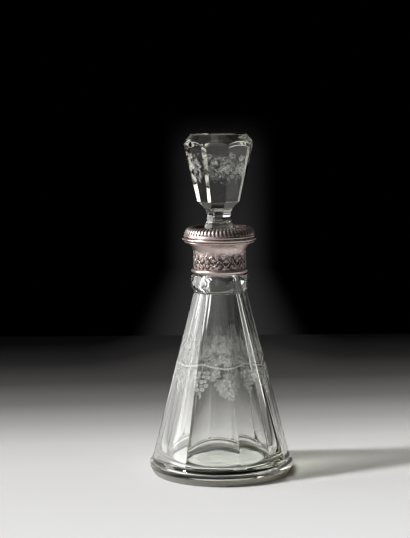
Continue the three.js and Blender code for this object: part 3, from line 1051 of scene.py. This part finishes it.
def engrave_dome(frost, chance, middle, share):
    """Rows of small leaves and flowers above the stem. They form a low dome and grow fainter upwards."""
    rows = 6
    for row in range(rows):
        reach = 18 * math.sqrt(1 - (row / (rows + 0.5)) ** 2)
        count = round(reach / 2)
        for k in range(count):
            frost.start(middle, stem_level)
            x = reach * (2 * (k + chance.random()) / count - 1)
            y = 2 + 4 * row + 2.5 * chance.random()
            if (k + row) % 4 == 0:
                engrave_flower(frost, x, y, 0.35 * share)
            else:
                frost.leaf(x, y, 3.6 + 2.4 * chance.random(), full_turn * chance.random(),
                           share * (0.5 - 0.06 * row) * (0.5 + 0.5 * chance.random()))


def engrave_curls(frost, angle):
    """A spiral and an oval between two domes."""
    frost.start(angle, stem_level)
    frost.ribbon(curl((2.2, 15), 1.0, 1.5, 2.6, 26), lambda t: 0.42, 0.3)
    oval = []
    for k in range(21):
        turn = 2 * math.pi * k / 20
        oval.append((2.8 + 3.6 * math.cos(turn), 7.6 + 1.9 * math.sin(turn)))
    frost.ribbon(oval, lambda t: 0.5, 0.3)


# %% [markdown]
# All the strokes of the vine become one mesh that rides with the bottle.

# %% Vine round the bottle
def engrave_bottle():
    """The six repeats. The stem is drawn in the three in front, and the leaves of one are fainter."""
    frost = Frost(cone_flat, cone_slope)
    chance = random.Random(11)
    for repeat in range(vine_repeats):
        middle = math.radians(60 * repeat + 12)
        share = 0.5 if repeat == 5 else 0.8
        frost.start(middle, stem_level)
        if repeat in (0, 1, 5):
            engrave_stem(frost)
        engrave_bunch(frost, chance, middle - math.radians(29))
        engrave_big_leaves(frost, chance, middle, share)
        engrave_dome(frost, chance, middle, share)
        engrave_curls(frost, middle - math.radians(31))
    frost.piece("vine_on_bottle", "decanter")


engrave_bottle()

# %% [markdown]
# The stopper carries a thin cloud of small leaves and dots on three faces in front and on the one behind.
# The side faces stay clear, since frost there would hide the dark and bright lines that make it sparkle.

# %% Sprigs on the stopper
# face, share of frost in its leaves, strength of its dots, and the width left clear at both ridges
sprigs = [(-1, 0.6, 0.55, 5), (0, 1, 0.55, 1.8), (1, 2, 0.55, 1.8), (4, 0.4, 0.2, 1.8)]
sprig_foot = head_foot + 12


def sprig_room(y, margin):
    """Half of the width of a face that a sprig may take at a height over its foot."""
    return stopper_cut(sprig_foot + y) * math.tan(half_panel) - margin


def engrave_stopper():
    """Leaves, dots, a spiral and a wavy stalk on each face that carries a sprig."""
    frost = Frost(stopper_cut, (head_top_flat - head_foot_flat) / head_height)
    chance = random.Random(23)
    for face, share, dot_strength, margin in sprigs:
        middle = 2 * half_panel * face
        for k in range(34):
            frost.start(middle, sprig_foot)
            y = 4 + 13 * (chance.random() + chance.random())
            x = sprig_room(y, margin) * (2 * chance.random() - 1)
            frost.leaf(x, y, 1.8 + 1.4 * chance.random(), full_turn * chance.random(),
                       (0.06 + 0.24 * chance.random()) * share)
        for k in range(12):
            frost.start(middle, sprig_foot)
            y = 4 + 18 * chance.random()
            x = sprig_room(y, margin) * (0.4 + 0.6 * chance.random())
            frost.grape(x, y, 0.8, dot_strength)
        frost.start(middle, sprig_foot)
        frost.ribbon(curl((-4.0, 27), 2.2, 1.4, 2.4, 26), lambda t: 0.35, 0.5)
        frost.ribbon([(-7 + 1.5 * k, 17 + 1.8 * math.sin(k * 0.9)) for k in range(10)], lambda t: 0.35, 0.4)
    frost.piece("vine_on_stopper", "stopper")


engrave_stopper()

# %% [markdown]
# ## Silver
# The mount is sterling silver, stamped, chased and soldered. Silver is almost white and very bright. Age
# leaves a warm grey film in patches of about 4 mm, and dark sulphide in the recesses, where polishing cloths
# don't reach. The same dark colour is also painted shade: deep in the rim's valleys, inside its gallery and
# on the plate under the stopper. The band, the rim and the plate mark these places with a number for each
# point, and the material reads it.

# %% Silver material
film_patches_per_mm = 0.26


def worn_silver_with_painted_shade():
    """Warm grey silver, dark where the pieces mark it with the number named recess: sulphide, and painted
    shade.
    """
    material, tree, output = new_material("aged sterling silver")
    place = add_node(tree, "ShaderNodeTexCoord")
    film = add_node(tree, "ShaderNodeTexNoise", {
        "Vector": place.outputs["Object"], "Scale": film_patches_per_mm / MM, "Detail": 4.0,
    })
    tone = add_node(tree, "ShaderNodeMix", {
        0: film.outputs["Fac"], 6: linear("#e3d3cd"), 7: linear("#b9a6a1"),
    }, data_type="RGBA")
    depth = add_node(tree, "ShaderNodeAttribute", attribute_name="recess")
    patchy = add_node(tree, "ShaderNodeMath", {
        0: depth.outputs["Fac"], 1: film.outputs["Fac"],
    }, operation="MULTIPLY")
    share = add_node(tree, "ShaderNodeMapRange", {
        "Value": patchy.outputs["Value"], "From Min": 0.1, "From Max": 0.42, "To Max": 0.94,
    })
    sulphide_and_painted_shade = add_node(tree, "ShaderNodeMix", {
        0: share.outputs["Result"], 6: tone.outputs["Result"], 7: linear("#2b211f"),
    }, data_type="RGBA")
    dull = add_node(tree, "ShaderNodeMapRange", {
        "Value": share.outputs["Result"], "To Min": 0.3, "To Max": 0.6,
    })
    metal = add_node(tree, "ShaderNodeBsdfPrincipled", {
        "Base Color": sulphide_and_painted_shade.outputs["Result"], "Metallic": 1.0, "Roughness": dull.outputs["Result"],
    })
    tree.links.new(metal.outputs["BSDF"], output.inputs["Surface"])
    return material


silver = worn_silver_with_painted_shade()

# %% [markdown]
# The mount is built up on the neck: a band with a half-round bead round its foot, two wires under the rim,
# the rim itself, and a dished plate over the glass lip. A seat gap of 0.3 mm keeps neighbours apart.

# %% Mount sizes
sheet = 0.6
band_radius, band_height, cavetto_radius, cavetto_angle = 21.6, 15.8, 11.4, math.radians(51)
bead_height, bead_bulge = 3.5, 1.1
reed_height, reed_radius, flange_height, flange_radius = 1.6, 29.3, 2.2, 31
shoulder_height, shoulder_radius, gallery_radius, mouth_ring_bore = 2.2, 29.7, 22.6, 14.2
gadroons, gadroon_rise, gadroon_depth, gadroon_crown = 54, 6.2, 0.9, 1.3

band_foot = ring_top + seat_gap
cavetto_rise = (cavetto_radius + sheet) * math.sin(cavetto_angle)
wire_bore = band_radius + cavetto_radius - (cavetto_radius + sheet) * math.cos(cavetto_angle)
reed_foot = band_foot + band_height + cavetto_rise + seat_gap
flange_foot = reed_foot + reed_height + seat_gap
rim_foot = flange_foot + flange_height + seat_gap
gadroon_foot = rim_foot + shoulder_height
gallery_top = gadroon_foot + gadroon_rise


def cavetto(offset, turn, outwards):
    """The curve by which the band flares, set back by an offset."""
    centre = (band_radius + cavetto_radius, band_foot + band_height)
    steps = 24
    shares = [i / steps for i in range(steps + 1)]
    angles = [turn * (s if outwards else 1 - s) for s in shares]
    reach = cavetto_radius + offset
    return [(centre[0] - reach * math.cos(a), centre[1] + reach * math.sin(a)) for a in angles]


# %% [markdown]
# Around the band runs a chased frieze: a scrolling stem with a five-petalled flower in each bend, leaves and
# curls. It is drawn here as a height field. Each stroke of the chasing tool leaves a rounded ridge, so the
# field is built by pressing many small domes into it, one beside the other.

# %% Height field for chased work
dome_spacing = 0.15


def new_field(width, height, cell):
    """A grid of heights that wraps round in its first direction. Lengths are in millimetres."""
    columns, rows = round(width / cell), round(height / cell) + 1
    return {"cell": (width / columns, height / (rows - 1)), "rows": [[0.0] * columns for _ in range(rows)]}


def press(field, u, v, radius, height):
    """Adds one dome."""
    du, dv = field["cell"]
    columns = len(field["rows"][0])
    first = max(0, math.ceil((v - radius) / dv))
    last = min(len(field["rows"]) - 1, math.floor((v + radius) / dv))
    for row in range(first, last + 1):
        heights = field["rows"][row]
        for column in range(math.ceil((u - radius) / du), math.floor((u + radius) / du) + 1):
            away = math.hypot(column * du - u, row * dv - v) / radius
            if away < 1:
                place = column % columns
                heights[place] = max(heights[place], height * math.sqrt(1 - away * away))


def chase(field, points, radii, height):
    """A tapered ridge along a line of points."""
    for i in range(len(points) - 1):
        (u0, v0), (u1, v1) = points[i], points[i + 1]
        count = max(1, math.ceil(math.hypot(u1 - u0, v1 - v0) / dome_spacing))
        for k in range(count):
            share = (i + k / count) / (len(points) - 1)
            radius = radii[0] + (radii[1] - radii[0]) * share
            press(field, u0 + (u1 - u0) * k / count, v0 + (v1 - v0) * k / count, radius, height)


# %% [markdown]
# The frieze covers the band from above the bead to halfway up its flare. Its cells are about a quarter of a
# millimetre wide, which is fine enough for its smallest dots.

# %% Sizes of the frieze
frieze_repeats, frieze_depth = 13, 0.45
frieze_foot, frieze_height, frieze_cell = band_foot + bead_height + 0.2, 17, 0.24
frieze = new_field(2 * math.pi * band_radius, frieze_height, frieze_cell)
print("frieze columns and rows:", len(frieze["rows"][0]), len(frieze["rows"]))

# %% [markdown]
# The stem swings up and down round the band, with a flower in each bend and curls above and below it. Leaves
# are chased in all directions between them, fewer of them higher up. A row of beads closes the frieze below.

# %% Strokes of the frieze
def chase_stem(field, start, length, middle, swing):
    """Half a wave of the stem."""
    stem = [(start + length * k / 12, middle - swing * math.sin(math.pi * k / 12)) for k in range(13)]
    chase(field, stem, (0.3, 0.3), frieze_depth * 0.8)


def chase_flower(field, u, v, turn):
    """Five petals round a smaller dome."""
    for petal in range(5):
        angle = 2 * math.pi * petal / 5 + turn
        press(field, u + 0.95 * math.cos(angle), v + 0.95 * math.sin(angle), 0.52, frieze_depth)
    press(field, u, v, 0.34, frieze_depth)


def chase_leaf(field, chance, start, length, height):
    """A short tapered stroke at a random place, more often low than high."""
    root = (start + length * chance.random(), height * (0.05 + 0.85 * chance.random() ** 1.3))
    angle = 2 * math.pi * chance.random()
    reach = 0.8 + 0.7 * chance.random()
    tip = (root[0] + reach * math.cos(angle), root[1] + reach * math.sin(angle))
    chase(field, [root, tip], (0.34, 0.12), frieze_depth * (0.6 + 0.4 * chance.random()))


# %% [markdown]
# The bends of the stem and the flowers are evenly spaced. Curls and leaves fall at random places, so no two
# repeats are alike.

# %% The frieze
def draw_frieze(field, repeats, height):
    """Two bends of the stem in each repeat, and ten beads."""
    chance = random.Random(4)
    width = field["cell"][0] * len(field["rows"][0]) / repeats
    middle, swing = height * 0.32, height * 0.13
    for i in range(repeats * 2):
        side = 1 if i % 2 else -1
        start = i * width / 2
        chase_stem(field, start, width / 2, middle, side * swing)
        chase_flower(field, start + width / 4, middle + side * height * 0.13, i)
        for lift in (-0.3, 0.34):
            at = (start + width * (0.02 + 0.1 * chance.random()), middle + lift * height * 0.8)
            chase(field, curl(at, side, side * 1.4, 1.15), (0.28, 0.18), frieze_depth * 0.8)
        for k in range(20):
            chase_leaf(field, chance, start, width / 2, height)
    for i in range(repeats * 10):
        press(field, i * width / 10, 0.5, 0.42, frieze_depth * 0.6)


draw_frieze(frieze, frieze_repeats, frieze_height)
print("highest chasing in mm:", round(max(map(max, frieze["rows"])), 3))


def chasing(height, column):
    """Height of the frieze over its ground at a place on the band."""
    row = (height - frieze_foot) / frieze["cell"][1]
    if not 0 <= row <= len(frieze["rows"]) - 1:
        return 0.0
    low = min(int(row), len(frieze["rows"]) - 2)
    share = row - low
    column %= len(frieze["rows"][0])
    return frieze["rows"][low][column] * (1 - share) + frieze["rows"][low + 1][column] * share


# %% [markdown]
# The plain parts of the mount are turned. The band is turned too, with a column of points for each column of
# the frieze and a row for each of its cells, so that the chasing can be added to its radius.

# %% Turned silver
silver_columns = 256


def turned_silver(name, outline, *nodes):
    """A turned piece of the mount."""
    mesh, _ = turned_mesh(name, outline, even_angles(silver_columns), closed=True)
    mesh.materials.append(silver)
    return add_piece(name, mesh, "decanter", "silver", *nodes)


# %% [markdown]
# The band is sheet silver: a thin wall that turns outwards at its top in a cavetto, a hollow moulding of a
# quarter circle or less. Its ground is marked as a recess, so that the chased work stands out bright.

# %% Band
def build_band():
    """The chased band. Its ground is marked as a recess, more so towards the foot."""
    rows = round(band_height / frieze_cell)
    outline = [(band_radius - sheet, band_foot), (band_radius, band_foot)]
    outline += line(outline[-1], (band_radius, band_foot + band_height), rows)[:-1]
    outline += cavetto(0, cavetto_angle, True)
    outer = len(outline)
    outline += cavetto(sheet, cavetto_angle, False)
    columns = len(frieze["rows"][0])

    def chased(step, radius, height, angle):
        if not 0 < step < outer:
            return radius, height
        column = round(angle / (2 * math.pi) * columns)
        return radius + chasing(height, column), height

    mesh, _ = turned_mesh("band", outline, even_angles(columns), chased, closed=True)
    depths = []
    for step, (radius, height) in enumerate(outline):
        inside = 0 < step < outer and 0 <= height - frieze_foot <= frieze_height
        fade = max(min(1, 1.7 * (1 - (height - frieze_foot) / frieze_height)), 0.1)
        for column in range(columns):
            raised = chasing(height, column) / frieze_depth
            depths.append((1 - raised) * fade if inside else 0.1)
    mark_points(mesh, "recess", depths)
    mesh.materials.append(silver)
    add_piece("band", mesh, "decanter", "silver", "collar_band")


# %% [markdown]
# The bead and the two wires are drawn wire with a rounded face, bent round and soldered on. An arc and a
# flat back, turned once round the axis, give each of them. The mouth plate is a thin dished ring.

# %% Bead, wires and mouth plate
def build_bead():
    """The half-round wire round the foot of the band."""
    bore, top = band_radius + seat_gap, band_foot + bead_height
    outline = [(bore, band_foot)] + bulge(bore + sheet, band_foot, top, bead_bulge)
    turned_silver("bead", outline + [(bore, top)], "foot_bead")


def build_wire(name, foot, height, radius, node):
    """A flat ring with a half-round edge."""
    outline = [(wire_bore, foot)] + bulge(radius - height / 2, foot, foot + height, height / 2)
    turned_silver(name, outline + [(wire_bore, foot + height)], node)


def build_mouth_plate():
    """The dished plate round the mouth. It is dark all over: painted shade from the stopper above it, and
    sulphide, since no cloth gets under the stopper.
    """
    foot = lip_level + seat_gap
    outer, wall_top = gallery_radius - sheet - seat_gap, gallery_top - sheet
    outline = [(mouth_ring_bore, foot), (outer, foot), (outer, wall_top), (outer - sheet, wall_top)]
    outline += curve(outline[-1], (outer - sheet, foot + sheet), (outer - 4 * sheet, foot + sheet), 10)
    plate = turned_silver("mouth_plate", outline + [(mouth_ring_bore, foot + sheet)], "mouth_ring")
    # painted shade and sulphide over the whole plate
    mark_points(plate.data, "recess", [1.1] * len(plate.data.vertices))


build_band()
build_bead()
build_wire("thin_wire", reed_foot, reed_height, reed_radius, "reed_wire")
build_wire("wide_wire", flange_foot, flange_height, flange_radius, "flange_wire")
build_mouth_plate()

# %% [markdown]
# ## Gadroons
# The rim is stamped with half-round lobes that radiate from the gallery to the edge. One lobe could be
# copied round, but then the rim would be as many loose pieces as it has lobes. Instead each column of the
# turned rim is lifted by a half-round. The rim stays one closed surface, and its valleys stay sharp, as a
# stamp leaves them.

# %% Gadrooned rim
def build_rim():
    """The rim. Its valleys and its inside are marked as recesses, for sulphide and for painted shade."""
    steps_per_lobe, rows = 14, 20
    outer, inner = shoulder_radius, gallery_radius - sheet
    slope = math.atan2(gadroon_rise, outer - gallery_radius)
    outline, crowns = [], []

    def add(points, crown=0.0):
        outline.extend(points)
        crowns.extend([crown] * len(points))

    add([(outer - 2 * sheet, rim_foot)])
    add(bulge(outer - 0.5, rim_foot, gadroon_foot - 0.2, 0.5, 8))
    for row in range(rows + 1):
        share = row / rows
        crown = math.sin(math.pi * share)
        lift = crown * gadroon_crown
        radius = outer - sheet - share * (outer - sheet - gallery_radius) + lift * math.sin(slope)
        level = gadroon_foot + share * gadroon_rise + lift * math.cos(slope)
        add([(radius, level)], math.sqrt(max(crown, 0)))
    add([(inner, gallery_top), (inner, gallery_top - 3 * sheet)])
    add([(outer - 2 * sheet, gadroon_foot - 2 * sheet)])
    lobe_share = [math.sqrt(math.sin(math.pi * (i % steps_per_lobe) / steps_per_lobe))
                  for i in range(gadroons * steps_per_lobe)]
    count = len(lobe_share)

    def lobes(step, radius, height, angle):
        column = round(angle / (2 * math.pi) * count) % count
        lift = gadroon_depth * crowns[step] * lobe_share[column]
        return radius + lift * math.sin(slope), height + lift * math.cos(slope)

    mesh, _ = turned_mesh("rim", outline, even_angles(count), lobes, closed=True)
    last_outside = len(outline) - 4
    # painted shade as well as sulphide: the inside is dark all over, and each lobe darkens far up its sides
    # from the valley
    depths = []
    for step, crown in enumerate(crowns):
        for share in lobe_share:
            if step > last_outside:
                depths.append(1.2)
            elif crown:
                depths.append(max(3.2 - 3.4 * share, 0.1))
            else:
                depths.append(0.1)
    mark_points(mesh, "recess", depths)
    mesh.materials.append(silver)
    add_piece("rim", mesh, "decanter", "silver", "gadroon_rim")


build_rim()

# %% [markdown]
# ## Plaster
# Plaster of Paris fills the space between the neck and the mount. It doesn't show, so it keeps its CAD
# solid. It is chalky, with pits of about a millimetre.

# %% Plaster material
pits_per_mm = 0.9


def cast_plaster():
    """Matt off-white plaster."""
    material, tree, output = new_material("plaster of Paris")
    place = add_node(tree, "ShaderNodeTexCoord")
    grain = add_node(tree, "ShaderNodeTexNoise", {
        "Vector": place.outputs["Object"], "Scale": pits_per_mm / MM, "Detail": 3.0,
    })
    pits = add_node(tree, "ShaderNodeBump", {
        "Height": grain.outputs["Fac"], "Strength": 0.3, "Distance": 0.3 * MM,
    })
    chalk = add_node(tree, "ShaderNodeBsdfPrincipled", {
        "Base Color": linear("#e6e1d6"), "Roughness": 0.95, "Normal": pits.outputs["Normal"],
    })
    tree.links.new(chalk.outputs["BSDF"], output.inputs["Surface"])
    return material


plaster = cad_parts["plaster_bed"]
plaster.data.materials.clear()
plaster.data.materials.append(cast_plaster())
print("plaster faces:", len(plaster.data.polygons))
